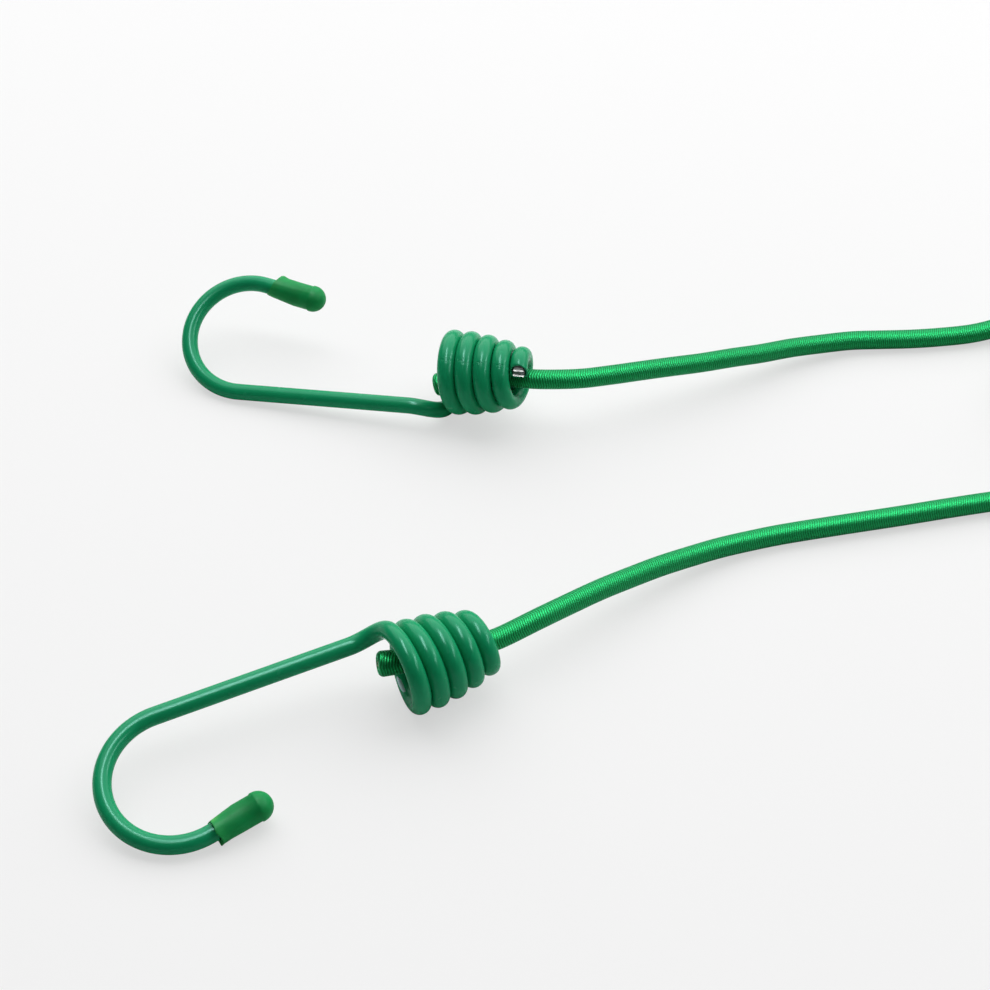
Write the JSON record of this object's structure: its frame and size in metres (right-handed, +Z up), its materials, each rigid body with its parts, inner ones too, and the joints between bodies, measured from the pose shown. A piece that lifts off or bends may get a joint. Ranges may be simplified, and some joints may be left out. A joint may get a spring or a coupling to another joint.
{
  "type": "travel clothesline",
  "caption": "Elastic travel clothesline: a round braided cord with a coated wire hook at each end, swivelling on the cord by a tapered coil; the spare cord is wound up flat.",
  "frame": {"origin": "on the surface that the line lies on, under the middle of the two hooks", "axes": "+Z up from the surface, +Y from hook b to hook a, +X from the hooks towards the wound cord"},
  "size_m": [0.3509, 0.2198, 0.0276],
  "materials": {
    "steel": "plain drawn wire, cut and crimped",
    "coating": "glossy blue-green dip",
    "cap": "soft matt green",
    "cord": "silky green braid over rubber strands"
  },
  "bodies": {
    "cord": {"cord_a": "cord", "cord_b": "cord", "cord_wound": "cord", "clamp_a": "steel", "clamp_b": "steel"},
    "hook_a": {"hook_a_core": "steel", "hook_a_coating": "coating", "hook_a_cap": "cap"},
    "hook_b": {"hook_b_core": "steel", "hook_b_coating": "coating", "hook_b_cap": "cap"}
  },
  "joints": [
    {"name": "hook_a_swivel", "type": "hinge", "parent": "cord", "child": "hook_a", "pos_m": [0.03094, 0.06708, 0.01376], "axis": [0.9512, -0.2726, 0.1446], "continuous": true},
    {"name": "hook_b_swivel", "type": "hinge", "parent": "cord", "child": "hook_b", "pos_m": [0.02064, -0.05432, 0.0129], "axis": [0.9041, 0.4274, -0.0052], "continuous": true}
  ]
}
